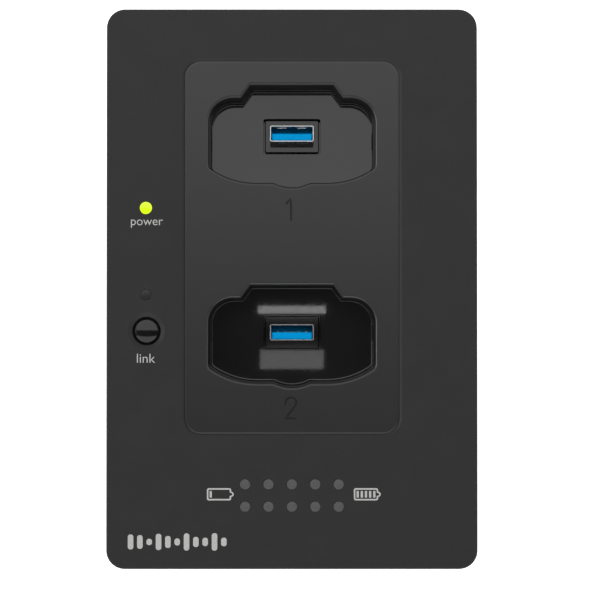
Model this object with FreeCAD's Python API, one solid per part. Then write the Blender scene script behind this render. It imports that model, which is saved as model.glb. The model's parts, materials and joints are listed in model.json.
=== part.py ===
"""Two-bay charging station for wireless bodypack transmitters.

The station lies on its back on four rubber feet, face up. Two bays in an inset panel each take a
bodypack, bottom first, over a USB 3 plug that stands on the bay's floor. A link button, two status
lamps and two rows of five battery lamps are on the face; the Ethernet and power sockets are in the
rear wall (+Y). Millimetres, +Z up, origin on the ground under the middle of the body.
"""
import FreeCAD
import Part
import math
import os

V = FreeCAD.Vector
UP = V(0, 0, 1)

# ---- driving dimensions: casings ----------------------------------------------------------------
BODY_W = 100.0
BODY_L = 151.0
FACE_Z = 36.0
CORNER_R = 5.0
WALL = 2.4
FACE_EDGE_R = 0.5

SPLIT_Z = 9.0
BASE_FLOOR = 2.2
BASE_EDGE_R = 2.0
REVEAL = 0.5
LIP_GAP = 0.15
LIP_T = 1.2
LIP_TOP = 11.5
LIP_NOTCH = 4.0

FOOT_PROUD = 1.2
FOOT_R = 6.0
FOOT_EDGE_R = 0.5
FOOT_POCKET = 1.0
FOOT_GAP = 0.1
FOOT_XY = (38.0, 57.0)

KEYHOLE_Y = 40.0
KEYHOLE_HEAD_R = 4.25
KEYHOLE_SLOT_R = 2.25
KEYHOLE_RUN = 9.0
KEYHOLE_DEPTH = 4.4
KEYHOLE_LIP_T = 1.6
KEYHOLE_WALL = 1.6
KEYHOLE_ROOF = 0.9

LABEL_W = 46.0
LABEL_L = 30.0
LABEL_R = 2.0
LABEL_T = 0.3
LABEL_POCKET = 0.4
LABEL_GAP = 0.15

VENT_COUNT = 7
VENT_PITCH = 5.0
VENT_W = 14.0
VENT_L = 1.8
VENT_X = 36.0
VENT_END_FLAT = 0.01

# ---- driving dimensions: panel and bays ---------------------------------------------------------
PANEL_W = 58.0
PANEL_L = 100.8
PANEL_Y = 11.15
PANEL_R = 4.5
PANEL_DROP = 0.4
PANEL_T = 2.0
PANEL_GAP = 0.06
PANEL_BEVEL_W = 0.5
PANEL_BEVEL_H = 0.15
RECESS_BEVEL_W = 0.6
LEDGE_W = 1.6
LEDGE_T = 2.2
LEDGE_RING = 2.0

HOOK_PITCH = 36.5
HOOK_W = 6.0
HOOK_T = 1.2
HOOK_GAP = 0.2
HOOK_CATCH = 0.9
HOOK_DROP = 1.4
HOOK_PLAY = 0.1

NUMERAL_DEPTH = 0.25
NUMERAL_SLOPE = 0.2
NUMERAL_STROKE = 0.55
TWO_BOW_R = 1.75
TWO_BOW_STEPS = 10
NUMERAL_HALF_H = 3.1
NUMERAL_X = -0.2
NUMERAL_DROP = {"upper": 20.75, "lower": 20.35}

BAY_PITCH = 54.0
LOWER_BAY_Y = -11.75
BAY_DEPTH = 14.9
RIM_R = 0.7
RIM_STEPS = 4
SKIRT_DEPTH = 10.9
SKIRT_T = 1.2
SKIRT_DRAFT = 0.2
SEAM_STEP = 0.05
LINER_DRAFT = 0.1
LINER_T = 1.8
FLOOR_FILLET = 0.45
SOCKET_RISE = 3.3
SOCKET_GAP = 0.1
SOCKET_WALL = 1.6
SOCKET_FLOOR = 1.7
LINER_WAIST = -0.6

BAY_HALF_W = 22.83
BAY_TOP = 13.1
BAY_SHOULDER = 9.6
BAY_CLIP_TOP_X = 11.3
BAY_CLIP_FOOT_X = 13.9
SHOULDER_R = 7.0
BAY_FOOT = -14.0
BAY_FOOT_R = 22.3
BAY_FOOT_X = 9.5
BAY_HEEL_R = 2.2
BUMP_R = 11.0
BUMP_DROP = 1.2

# ---- driving dimensions: dock plugs -------------------------------------------------------------
PLUG_W = 12.0
PLUG_H = 4.5
PLUG_R = 0.5
PLUG_SHEET = 0.3
PLUG_EDGE = 0.12
PLUG_TIP_DROP = 4.9
CARRIER_W = 14.9
CARRIER_H = 9.0
CARRIER_R = 0.5
CARRIER_GAP = 0.4
CARRIER_BEVEL = 0.25
# The carrier's flange: width, depth, thickness.
CARRIER_FLANGE = (16.4, 10.4, 1.5)
LATCH_X = 2.7
# A latch window: width, height.
LATCH_SIZE = (2.4, 2.0)
LATCH_DROP = 6.6
SEAM_W = 0.12
TONGUE_W = 10.9
TONGUE_RECESS = 0.35
TONGUE_EDGE = 0.2
TONGUE_BLOCK_RISE = 1.0
USB2_X = (-3.5, -1.0, 1.0, 3.5)
USB2_W = 1.0
USB2_T = 0.12
USB2_PROUD = 0.02
USB2_DROP = 1.4
USB3_X = (-4.0, -2.0, 0.0, 2.0, 4.0)
USB3_W = 0.44
USB3_T = 0.15
USB3_RISE = 0.15
USB3_DROP = 9.2
CONTACT_TAIL = 0.6
CONTACT_PLAY = 0.08

# ---- driving dimensions: lamps and button -------------------------------------------------------
LAMP_X = -39.4
POWER_LAMP_Y = 21.8
POWER_LAMP_R = 1.6
POWER_LAMP_DOME = 0.2
LINK_LAMP_Y = -1.65
LINK_LAMP_R = 1.4
LINK_LAMP_DOME = 0.12
BATTERY_PITCH_X = 6.3
BATTERY_ROWS_Y = (-52.7, -58.7)
BATTERY_COUNT = 5
BATTERY_R = 1.38
BATTERY_DOME = 0.05
LAMP_GAP = 0.08
LAMP_FLANGE = 0.8
LAMP_FLANGE_T = 1.0
LAMP_WEB_L = 4.4
LAMP_WEB_FLAT = 0.1
# A lamp chip: width, length, height.
LAMP_CHIP = (1.6, 1.2, 0.8)
GUIDE_CLEARANCE = 1.0

BUTTON_X = -39.2
BUTTON_Y = -11.45
BUTTON_R = 3.15
BUTTON_DOME = 0.75
BUTTON_TOP_DROP = 0.05
BUTTON_EDGE_R = 0.2
BUTTON_FLANGE_R = 4.7
BUTTON_FLANGE_T = 0.75
BUTTON_STEM_R = 1.5
BUTTON_WELL_R = 3.85
BUTTON_SURROUND_R = 5.0
BUTTON_SURROUND_DROP = 0.75
BUTTON_TRAVEL = 0.5
BUTTON_REST_GAP = 0.05
SWITCH_W = 6.0
SWITCH_H = 3.0
SWITCH_STAND = 0.5
SWITCH_EDGE = 0.2
SWITCH_FLOOR = 0.6
SWITCH_ROOF = 0.4
PLUNGER_R = 1.65
PLUNGER_COLLAR_R = 2.2
PLUNGER_COLLAR_T = 0.5
PLUNGER_LIFT = 2.0
PLUNGER_GAP = 0.2

# ---- driving dimensions: boards and sockets -----------------------------------------------------
MAIN_BOARD_Z = 6.6
MAIN_BOARD_T = 1.6
MAIN_BOARD_X = 45.3
MAIN_BOARD_Y = (-70.8, 71.0)
MAIN_BOARD_NOTCH = 4.4
BOARD_HOLE_PLAY = 0.35
DOCK_BOARD_Z = 12.4
DOCK_BOARD_T = 1.2
DOCK_BOARD_SIZE = (28.0, 15.0)
DOCK_BOARD_R = 1.0
DOCK_HEADER_SIZE = (14.0, 4.4)
DOCK_HEADER_BACK = 4.4
GROOVE_W = 0.3
GROOVE_DEPTH = 0.2
LAMP_BOARD_Z = 26.4
LAMP_BOARD_T = 1.2
# The L-shaped board: its outer edges, with the inner edge of each leg between them.
LAMP_BOARD_X = (-46.6, -32.4, 24.5)
LAMP_BOARD_Y = (-63.4, -46.0, 32.0)

ETHERNET_X = 16.0
ETHERNET_W = 16.0
ETHERNET_H = 13.2
ETHERNET_L = 15.6
ETHERNET_SHEET = 0.4
ETHERNET_SETBACK = 0.1
ETHERNET_CAVITY_L = 12.5
# The socket's stepped cavity, from the plug to its latch: width, lower and upper height.
ETHERNET_CAVITY = ((11.9, 3.6, 10.6), (6.2, 2.2, 3.7), (3.4, 1.0, 2.3))
ETHERNET_PIN_PITCH = 1.02
ETHERNET_PIN_W = 0.46
# One contact wire's outline: distance behind the front, height above the board.
ETHERNET_PIN = ((12.0, 10.6), (4.2, 10.6), (3.9, 10.25), (11.7, 8.3), (12.0, 8.6))
ETHERNET_LAMP_X = 5.4
ETHERNET_LAMP_L = 2.0
# A socket lamp: width, lower and upper height.
ETHERNET_LAMP = (3.0, 11.1, 12.4)
SHIELD_SLOT_BACK = 5.8
SHIELD_SLOT = (3.0, 9.0)
SHIELD_SLOT_DEEP = 0.5
POWER_JACK_X = -24.0
POWER_JACK_W = 9.0
POWER_JACK_H = 11.0
POWER_JACK_L = 14.0
POWER_BORE_R = 3.15
POWER_BORE_L = 9.5
POWER_BORE_RISE = 6.2
POWER_PIN_R = 1.05
POWER_PIN_ROOT = 4.0
POWER_PIN_SETBACK = 1.2
POWER_PIN_NOSE = 0.6
POWER_SPRING_W = 2.2
# The leaf's outline: distance behind the front, height above the bore's floor.
POWER_SPRING = ((8.8, -0.4), (1.8, -0.4), (1.8, 0.0), (3.6, 0.5), (4.4, 0.5), (8.8, 0.0))
JACK_FRONT_Y = 75.1
PORT_GAP = 0.2
PORT_CUT_L = 8.0

# Chips: x, y, width, length.
CHIPS = ((-36, 12, 10, 10), (6, 20, 8, 8), (-20, -46, 6, 6), (-6, -46, 6, 6), (-38, 30, 8, 5))
CHIP_H = 1.2
DIMPLE_IN = 1.0
DIMPLE_R = 0.4
DIMPLE_DEPTH = 0.1
# The transformer: width, front and rear place along Y, height.
TRANSFORMER = (14.0, 50.6, 58.6, 6.0)
# A coil: side, height, radius and depth of the hollow in its top.
COIL = (10.0, 4.6, 3.2, 0.4)
COIL_CORNER_R = 2.0
COIL_X = (-20.0, -6.0)
COIL_Y = -58.0
# A can: radius, height.
CAN = (4.0, 10.0)
CAN_EDGE_R = 0.5
CAN_CROSS = 2.6
CAN_X = (14.0, 24.0)
CAN_Y = (-60.0, -48.0)

RIBBON_X = -39.0
RIBBON_Y = -20.0
RIBBON_STEP = 3.0
RIBBON_T = 0.3
RIBBON_W = 8.0
RIBBON_TURN = 30.0
RIBBON_END = 0.8
# A ribbon socket: width, length, height.
RIBBON_SOCKET = (11.0, 3.2, 2.4)

# ---- driving dimensions: fasteners --------------------------------------------------------------
SCREW_XY = (42.0, 67.5)
SCREW_SEAT_Z = 5.0
BOSS_Z = 10.5
BOSS_R = 3.6
BOSS_RIB_T = 2.0
BOSS_BORE_R = 1.6
BOSS_BORE_L = 9.0
PILLAR_R = 3.8
INSERT_R = 2.1
INSERT_L = 5.0
BOARD_SCREW_XY = (38.0, 60.0)
STANDOFF_R = 3.0
LAMP_BOARD_SCREWS = ((-36.0, 28.5), (-43.5, -32.0), (-28.0, -59.5), (20.5, -55.7))
LAMP_POST_R = 2.5
LAMP_POST_BORE_L = 5.0
LINER_SCREWS = ((22.6, 13.5), (21.6, -16.9))
LINER_POST_R = 2.2
EAR_R = 3.0
EAR_RISE = 1.3
EAR_SEAT = 0.7
DOCK_SCREW_X = 10.8
DOCK_POST_R = 2.0
DOCK_POST_BORE_L = 4.0
BOARD_SCREW_R = 1.25
BOARD_SCREW_HEAD = (2.6, 1.8)
SCREW_PLAY = 0.25
HEAD_PLAY = 0.35
SCREW_END_GAP = 0.3
HEAD_ROUND = 0.4
SHANK_POINT = 0.35
CROSS_REACH = 0.6
CROSS_WIDTH = 0.14

# Screw sizes: head radius, head height, shank radius, length under the head.
HOUSING_SCREW = (2.75, 2.2, 1.5, 12.5)
LAMP_BOARD_SCREW = (1.9, 1.4, 0.9, 5.2)
LINER_SCREW = (1.9, 1.4, 0.95, 6.5)
DOCK_BOARD_SCREW = (1.8, 1.2, 0.8, 4.4)

# How far a cutting shape runs past the surface that it opens.
OVER = 1.0

# ---- derived levels -----------------------------------------------------------------------------
FACE_UNDER = FACE_Z - WALL
PANEL_Z = FACE_Z - PANEL_DROP
PANEL_UNDER = PANEL_Z - PANEL_T
LEDGE_Z = PANEL_UNDER - LEDGE_T
BAY_FLOOR_Z = PANEL_Z - BAY_DEPTH
SEAM_Z = PANEL_Z - SKIRT_DEPTH
LINER_UNDER = BAY_FLOOR_Z - LINER_T
TIP_Z = FACE_Z - PLUG_TIP_DROP
BASE_Z = FOOT_PROUD
BASE_INSIDE = BASE_Z + BASE_FLOOR
MAIN_TOP = MAIN_BOARD_Z + MAIN_BOARD_T
DOCK_TOP = DOCK_BOARD_Z + DOCK_BOARD_T
LAMP_BOARD_TOP = LAMP_BOARD_Z + LAMP_BOARD_T
GUIDE_Z = LAMP_BOARD_TOP + GUIDE_CLEARANCE
BUTTON_EDGE_Z = FACE_Z - BUTTON_TOP_DROP - BUTTON_DOME
BUTTON_FLANGE_Z = FACE_UNDER - BUTTON_REST_GAP - BUTTON_FLANGE_T
STEM_Z = LAMP_BOARD_TOP + SWITCH_H + BUTTON_TRAVEL + SWITCH_STAND
POWER_BORE_Z = MAIN_TOP + POWER_BORE_RISE
BAYS = {"lower": LOWER_BAY_Y, "upper": LOWER_BAY_Y + BAY_PITCH}
STATUS_LAMPS = ((POWER_LAMP_Y, POWER_LAMP_R), (LINK_LAMP_Y, LINK_LAMP_R))
BATTERY_X = [(k - (BATTERY_COUNT - 1) / 2) * BATTERY_PITCH_X for k in range(BATTERY_COUNT)]
CORNERS = [(sx, sy) for sx in (-1, 1) for sy in (-1, 1)]

# How far the bay's outline is drawn in at each level: under the rim, at the seam, in the liner.
RIM_INSET = RIM_R / 2
SEAM_INSET = RIM_INSET + SKIRT_DRAFT
LINER_INSET = SEAM_INSET + SEAM_STEP
FLOOR_INSET = LINER_INSET + LINER_DRAFT
SOCKET_INSET = -SKIRT_T - SOCKET_GAP
LINER_OUTER = SOCKET_INSET - SOCKET_WALL


# ---- small helpers ------------------------------------------------------------------------------
def box(x0, x1, y0, y1, z0, z1):
    """A box between two corners."""
    return Part.makeBox(x1 - x0, y1 - y0, z1 - z0, V(x0, y0, z0))


def centred_box(x, y, w, l, z0, z1):
    """A box of width w along X and length l along Y round a middle line."""
    return box(x - w / 2, x + w / 2, y - l / 2, y + l / 2, z0, z1)


def rod(x, y, z0, z1, r, r_top=None):
    """An upright cylinder, or a cone if a top radius is given."""
    if r_top is None:
        return Part.makeCylinder(r, z1 - z0, V(x, y, z0), UP)
    return Part.makeCone(r, r_top, z1 - z0, V(x, y, z0), UP)


def line(a, b):
    return Part.LineSegment(a, b).toShape()


def plate_of(points, thickness):
    """A flat outline given by its corners, thickened along a vector."""
    return Part.Face(Part.makePolygon(points + [points[0]])).extrude(thickness)


def arc(centre, radius, start, end):
    """A flat arc about centre from angle start to angle end, in degrees."""
    turn = [math.radians(start + (end - start) * k / 2) for k in range(3)]
    points = [centre + V(radius * math.cos(t), radius * math.sin(t), 0) for t in turn]
    return Part.Arc(*points).toShape()


def rounded_wire(w, l, r, z, cx=0.0, cy=0.0):
    """A rounded rectangle, w along X and l along Y."""
    hx, hy = w / 2 - r, l / 2 - r
    edges = []
    for k, (sx, sy) in enumerate(((1, 1), (-1, 1), (-1, -1), (1, -1))):
        edges.append(arc(V(cx + sx * hx, cy + sy * hy, z), r, 90 * k, 90 * k + 90))
    joined = []
    for k, edge in enumerate(edges):
        following = edges[(k + 1) % 4]
        joined += [edge, line(edge.Vertexes[-1].Point, following.Vertexes[0].Point)]
    return Part.Wire(joined)


def rounded_prism(w, l, r, z0, z1, cx=0.0, cy=0.0):
    return Part.Face(rounded_wire(w, l, r, z0, cx, cy)).extrude(V(0, 0, z1 - z0))


def rounded_taper(w, l, r, spread, z0, z1, cx=0.0, cy=0.0):
    """A rounded prism whose outline grows by spread on every side on its way up."""
    low = rounded_wire(w, l, r, z0, cx, cy)
    high = rounded_wire(w + 2 * spread, l + 2 * spread, r + spread, z1, cx, cy)
    return Part.makeLoft([low, high], True, True)


def flat_edges(shape, z):
    """The edges that lie in the plane at height z."""
    found = []
    for edge in shape.Edges:
        bounds = edge.BoundBox
        if abs(bounds.ZMin - z) < 1e-4 and abs(bounds.ZMax - z) < 1e-4:
            found.append(edge)
    return found


def front_edges(shape, y):
    """The edges that lie in the upright plane at y."""
    found = []
    for edge in shape.Edges:
        bounds = edge.BoundBox
        if abs(bounds.YMin - y) < 1e-4 and abs(bounds.YMax - y) < 1e-4:
            found.append(edge)
    return found


def mirrored(shape):
    """The same shape on the other side of the middle plane."""
    return shape.mirror(V(0, 0, 0), V(1, 0, 0))


def moved(shape, x, y, z=0.0):
    other = shape.copy()
    other.translate(V(x, y, z))
    return other


def one(shapes):
    """Shapes fused into one solid."""
    return shapes[0].fuse(shapes[1:]).removeSplitter() if len(shapes) > 1 else shapes[0]


def at_corners(xy):
    """Four places, one in each quarter."""
    return [(sx * xy[0], sy * xy[1]) for sx, sy in CORNERS]


# ---- the bay's outline --------------------------------------------------------------------------
def bay_wire(inset, z, y):
    """The bay's outline, drawn in by inset: a wide pack with rounded shoulders, a belt clip's
    trapezoid above them, and a broad curved foot with a shallow bump in its middle."""
    slope = V(BAY_CLIP_FOOT_X - BAY_CLIP_TOP_X, BAY_SHOULDER - BAY_TOP, 0).normalize()
    inward = V(slope.y, -slope.x, 0)
    on_slope = V(BAY_CLIP_TOP_X, BAY_TOP, 0) + inward * inset

    def slope_at(height):
        return V(on_slope.x + slope.x * (height - on_slope.y) / slope.y, height, 0)

    shoulder = V(BAY_HALF_W - SHOULDER_R, BAY_SHOULDER - SHOULDER_R, 0)
    foot = V(BAY_FOOT_X, BAY_FOOT + BAY_FOOT_R, 0)
    heel_x = BAY_HALF_W - BAY_HEEL_R
    reach = BAY_FOOT_R - BAY_HEEL_R
    heel = V(heel_x, foot.y - math.sqrt(reach**2 - (heel_x - foot.x) ** 2), 0)
    heel_turn = math.degrees(math.atan2(heel.y - foot.y, heel.x - foot.x))
    bump = V(0, BAY_FOOT - BUMP_DROP + BUMP_R, 0)
    bump_r = BUMP_R - inset
    bump_x = math.sqrt(bump_r**2 - (bump.y - BAY_FOOT - inset) ** 2)
    bump_turn = math.degrees(math.atan2(BAY_FOOT + inset - bump.y, bump_x))
    side_x = BAY_HALF_W - inset
    top = slope_at(BAY_TOP - inset)
    low = slope_at(BAY_SHOULDER - inset)
    right = [
        line(top, low),
        line(low, shoulder + V(0, SHOULDER_R - inset, 0)),
        arc(shoulder, SHOULDER_R - inset, 90, 0),
        line(V(side_x, shoulder.y, 0), V(side_x, heel.y, 0)),
        arc(heel, BAY_HEEL_R - inset, 0, heel_turn),
        arc(foot, BAY_FOOT_R - inset, heel_turn, -90),
        line(V(foot.x, BAY_FOOT + inset, 0), V(bump_x, BAY_FOOT + inset, 0)),
        arc(bump, bump_r, bump_turn, -90),
    ]
    left = [mirrored(edge) for edge in right]
    wire = Part.Wire(Part.__sortEdges__([line(V(-top.x, top.y, 0), top)] + right + left))
    wire.translate(V(0, y, z))
    return wire


def bay_prism(inset, z0, z1, y):
    return Part.Face(bay_wire(inset, z0, y)).extrude(V(0, 0, z1 - z0))


def bay_taper(inset0, z0, inset1, z1, y):
    """The solid between two insets of the outline."""
    return Part.makeLoft([bay_wire(inset0, z0, y), bay_wire(inset1, z1, y)], True, True)


def bay_mouth(y):
    """What the bay's rounded rim leaves open, as a stack of short tapers."""
    turns = [math.radians(90 * k / RIM_STEPS) for k in range(RIM_STEPS + 1)]
    levels = []
    for turn in turns:
        inset = RIM_INSET - RIM_R * (1 - math.cos(turn))
        levels.append((inset, PANEL_Z - RIM_R * (1 - math.sin(turn))))
    return [bay_taper(*low, *high, y) for low, high in zip(levels, levels[1:])]


# ---- casings ------------------------------------------------------------------------------------
def lamp_holes(z0, z1, gap):
    """Cylinders where the lamps pass: two status lamps and the battery rows."""
    holes = [rod(LAMP_X, y, z0, z1, r + gap) for y, r in STATUS_LAMPS]
    for y in BATTERY_ROWS_Y:
        holes += [rod(x, y, z0, z1, BATTERY_R + gap) for x in BATTERY_X]
    return holes


def port_cuts():
    """Openings for the two sockets in the rear wall."""
    cuts = []
    sockets = ((ETHERNET_X, ETHERNET_W, ETHERNET_H), (POWER_JACK_X, POWER_JACK_W, POWER_JACK_H))
    for x, w, h in sockets:
        side = w / 2 + PORT_GAP
        z0, z1 = MAIN_TOP - PORT_GAP, MAIN_TOP + h + PORT_GAP
        cuts.append(box(x - side, x + side, BODY_L / 2 - PORT_CUT_L, BODY_L / 2 + OVER, z0, z1))
    return cuts


def housing_bosses():
    """The corner bosses, each with two ribs to the walls, and the lamp board's posts."""
    shapes = []
    wall_x, wall_y = (BODY_W - WALL) / 2, (BODY_L - WALL) / 2
    for x, y in at_corners(SCREW_XY):
        shapes.append(rod(x, y, BOSS_Z, FACE_UNDER, BOSS_R))
        out_x, out_y = math.copysign(wall_x, x), math.copysign(wall_y, y)
        run_x, run_y = abs(out_x - x), abs(out_y - y)
        shapes.append(centred_box((x + out_x) / 2, y, run_x, BOSS_RIB_T, BOSS_Z, FACE_UNDER))
        shapes.append(centred_box(x, (y + out_y) / 2, BOSS_RIB_T, run_y, BOSS_Z, FACE_UNDER))
    for x, y in LAMP_BOARD_SCREWS:
        shapes.append(rod(x, y, LAMP_BOARD_TOP, FACE_UNDER, LAMP_POST_R))
    return shapes


def top_housing():
    """The face and four walls, open below, with the panel's ledge and the screw bosses."""
    body = rounded_prism(BODY_W, BODY_L, CORNER_R, SPLIT_Z, FACE_Z)
    body = body.makeFillet(FACE_EDGE_R, flat_edges(body, FACE_Z))
    inner_w, inner_l, inner_r = BODY_W - 2 * WALL, BODY_L - 2 * WALL, CORNER_R - WALL
    body = body.cut(rounded_prism(inner_w, inner_l, inner_r, SPLIT_Z - OVER, FACE_UNDER))
    ring_w, ring_l = PANEL_W + 2 * LEDGE_RING, PANEL_L + 2 * LEDGE_RING
    ring = rounded_prism(ring_w, ring_l, PANEL_R + LEDGE_RING, LEDGE_Z, FACE_UNDER, 0, PANEL_Y)
    body = one([body, ring] + housing_bosses())

    cuts = [rounded_prism(PANEL_W, PANEL_L, PANEL_R, PANEL_UNDER, FACE_Z + OVER, 0, PANEL_Y)]
    cuts.append(
        rounded_taper(PANEL_W, PANEL_L, PANEL_R, RECESS_BEVEL_W, PANEL_Z, FACE_Z, 0, PANEL_Y)
    )
    open_w, open_l = PANEL_W - 2 * LEDGE_W, PANEL_L - 2 * LEDGE_W
    cuts.append(
        rounded_prism(open_w, open_l, PANEL_R - LEDGE_W, LEDGE_Z - OVER, FACE_Z, 0, PANEL_Y)
    )
    cuts += lamp_holes(FACE_UNDER - OVER, FACE_Z + OVER, LAMP_GAP)
    cuts.append(rod(BUTTON_X, BUTTON_Y, FACE_UNDER - OVER, FACE_Z + OVER, BUTTON_WELL_R))
    surround_z = FACE_Z - BUTTON_SURROUND_DROP
    cuts.append(rod(BUTTON_X, BUTTON_Y, surround_z, FACE_Z, BUTTON_WELL_R, BUTTON_SURROUND_R))
    for x, y in at_corners(SCREW_XY):
        cuts.append(rod(x, y, BOSS_Z - OVER, BOSS_Z + INSERT_L, INSERT_R))
        cuts.append(rod(x, y, BOSS_Z, BOSS_Z + BOSS_BORE_L, BOSS_BORE_R))
    for x, y in LAMP_BOARD_SCREWS:
        top = LAMP_BOARD_TOP + LAMP_POST_BORE_L
        cuts.append(rod(x, y, LAMP_BOARD_TOP - OVER, top, LAMP_BOARD_SCREW[2]))
    return body.cut(cuts + port_cuts())


def keyhole_run(y, r, z0, z1):
    """A slot with round ends that runs from a keyhole's way in towards +Y."""
    end = y + KEYHOLE_RUN
    return one([rod(0, y, z0, z1, r), box(-r, r, y, end, z0, z1), rod(0, end, z0, z1, r)])


def base_shell():
    """The base's floor and low walls, with the reveal and the lip into the top housing."""
    body = rounded_prism(BODY_W, BODY_L, CORNER_R, BASE_Z, SPLIT_Z - REVEAL)
    body = body.makeFillet(BASE_EDGE_R, flat_edges(body, BASE_Z))
    shrink = 2 * REVEAL
    low = SPLIT_Z - REVEAL - OVER
    body = body.fuse(
        rounded_prism(BODY_W - shrink, BODY_L - shrink, CORNER_R - REVEAL, low, SPLIT_Z)
    )
    lip_in = WALL + LIP_GAP
    lip_r = CORNER_R - lip_in
    hollow_in = lip_in + LIP_T
    lip = rounded_prism(BODY_W - 2 * lip_in, BODY_L - 2 * lip_in, lip_r, BASE_INSIDE, LIP_TOP)
    hollow_w, hollow_l = BODY_W - 2 * hollow_in, BODY_L - 2 * hollow_in
    hollow = rounded_prism(hollow_w, hollow_l, lip_r - LIP_T, BASE_INSIDE, LIP_TOP + OVER)
    return body.fuse(lip).cut(hollow)


def base_housing():
    """The tray below: floor, low walls, a lip into the top housing, pillars, keyhole pockets."""
    adds, cuts = [base_shell()], []
    root_z = BASE_INSIDE - OVER / 2
    for x, y in at_corners(SCREW_XY):
        adds.append(rod(x, y, root_z, BOSS_Z, PILLAR_R))
        near_x, near_y = abs(x) - LIP_NOTCH, abs(y) - LIP_NOTCH
        far_x, far_y = BODY_W / 2 - OVER, BODY_L / 2 - OVER
        mid_x = math.copysign((near_x + far_x) / 2, x)
        mid_y = math.copysign((near_y + far_y) / 2, y)
        notch = centred_box(mid_x, mid_y, far_x - near_x, far_y - near_y, BOSS_Z, LIP_TOP + OVER)
        cuts.append(notch)
        cuts.append(rod(x, y, BASE_Z - OVER, BOSS_Z + OVER, HOUSING_SCREW[2] + SCREW_PLAY))
        cuts.append(rod(x, y, BASE_Z - OVER, SCREW_SEAT_Z, HOUSING_SCREW[0] + HEAD_PLAY))
    for x, y in at_corners(FOOT_XY):
        cuts.append(rod(x, y, BASE_Z - OVER, BASE_Z + FOOT_POCKET, FOOT_R + FOOT_GAP))
    for x, y in at_corners(BOARD_SCREW_XY):
        adds.append(rod(x, y, root_z, MAIN_BOARD_Z, STANDOFF_R))
        cuts.append(rod(x, y, BASE_INSIDE, MAIN_BOARD_Z + OVER, BOARD_SCREW_R))
    lip_z = BASE_Z + KEYHOLE_LIP_T
    pocket_z = BASE_Z + KEYHOLE_DEPTH
    for y in (-KEYHOLE_Y, KEYHOLE_Y):
        adds.append(keyhole_run(y, KEYHOLE_HEAD_R + KEYHOLE_WALL, root_z, pocket_z + KEYHOLE_ROOF))
        cuts.append(rod(0, y, BASE_Z - OVER, lip_z + KEYHOLE_LIP_T / 2, KEYHOLE_HEAD_R))
        cuts.append(keyhole_run(y, KEYHOLE_SLOT_R, BASE_Z - OVER, lip_z + KEYHOLE_LIP_T / 2))
        cuts.append(keyhole_run(y, KEYHOLE_HEAD_R, lip_z, pocket_z))
    pocket_w, pocket_l = LABEL_W + 2 * LABEL_GAP, LABEL_L + 2 * LABEL_GAP
    cuts.append(rounded_prism(pocket_w, pocket_l, LABEL_R, BASE_Z - OVER, BASE_Z + LABEL_POCKET))
    vent_r = VENT_L / 2 - VENT_END_FLAT
    for x in (-VENT_X, VENT_X):
        for k in range(VENT_COUNT):
            y = (k - (VENT_COUNT - 1) / 2) * VENT_PITCH
            cuts.append(
                rounded_prism(VENT_W, VENT_L, vent_r, BASE_Z - OVER, BASE_INSIDE + OVER, x, y)
            )
    return one(adds).cut(cuts + port_cuts())


def rating_label():
    """A blank plate in the floor's shallow pocket."""
    top = BASE_Z + LABEL_POCKET
    return rounded_prism(LABEL_W, LABEL_L, LABEL_R - LABEL_GAP, top - LABEL_T, top)


def foot(x, y):
    """A rubber foot: a disc glued in its pocket, with a softened rim."""
    body = rod(x, y, 0, BASE_Z + FOOT_POCKET, FOOT_R)
    return body.makeFillet(FOOT_EDGE_R, flat_edges(body, 0))


# ---- the dock panel and its bay liners ----------------------------------------------------------
def engraving(points, x, y):
    """A groove with slanted sides whose floor is NUMERAL_DEPTH under the panel's top."""
    tool = plate_of([V(px, py, 0) for px, py in points], V(0, 0, OVER))
    tool = tool.makeChamfer(NUMERAL_SLOPE, flat_edges(tool, 0))
    return moved(tool, x, y, PANEL_Z - NUMERAL_DEPTH)


def numeral_one(y):
    """The figure 1: an upright with a slanting flag."""
    top, low = NUMERAL_HALF_H, -NUMERAL_HALF_H
    stroke = NUMERAL_STROKE / 2
    outline = [(stroke, low), (stroke, top), (-0.1, top), (-1.45, 1.8), (-1.45, 1.05),
               (-stroke, 2.1), (-stroke, low)]
    return engraving(outline, NUMERAL_X, y)


def numeral_two(y):
    """The figure 2: a hooked bow, a diagonal and a foot."""
    bow_y = NUMERAL_HALF_H - TWO_BOW_R
    outer_turn = [math.radians(200 - 240 * k / TWO_BOW_STEPS) for k in range(TWO_BOW_STEPS + 1)]
    inner_r = TWO_BOW_R - NUMERAL_STROKE
    low, foot_top = -NUMERAL_HALF_H, -NUMERAL_HALF_H + NUMERAL_STROKE
    outline = [(TWO_BOW_R * math.cos(t), bow_y + TWO_BOW_R * math.sin(t)) for t in outer_turn]
    outline += [(-0.95, foot_top), (TWO_BOW_R, foot_top), (TWO_BOW_R, low), (-TWO_BOW_R, low)]
    outline += [(-TWO_BOW_R, foot_top)]
    outline += [(inner_r * math.cos(t), bow_y + inner_r * math.sin(t)) for t in outer_turn[::-1]]
    return engraving(outline, NUMERAL_X, y)


def snap_hook(y):
    """One hook of the panel: an arm through the ledge's opening and a catch under the ledge."""
    arm_x = PANEL_W / 2 - LEDGE_W - HOOK_GAP
    low, catch_z = LEDGE_Z - HOOK_DROP, LEDGE_Z - HOOK_PLAY
    y0, y1 = y - HOOK_W / 2, y + HOOK_W / 2
    arm = box(arm_x - HOOK_T, arm_x, y0, y1, low, PANEL_UNDER + OVER / 2)
    root_x, tip_x = arm_x - HOOK_T / 4, arm_x + HOOK_CATCH
    profile = [(root_x, low), (arm_x, low), (tip_x, catch_z - 2 * HOOK_PLAY), (tip_x, catch_z)]
    points = [V(px, y0, pz) for px, pz in profile + [(root_x, catch_z)]]
    return [arm, plate_of(points, V(0, HOOK_W, 0))]


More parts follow.
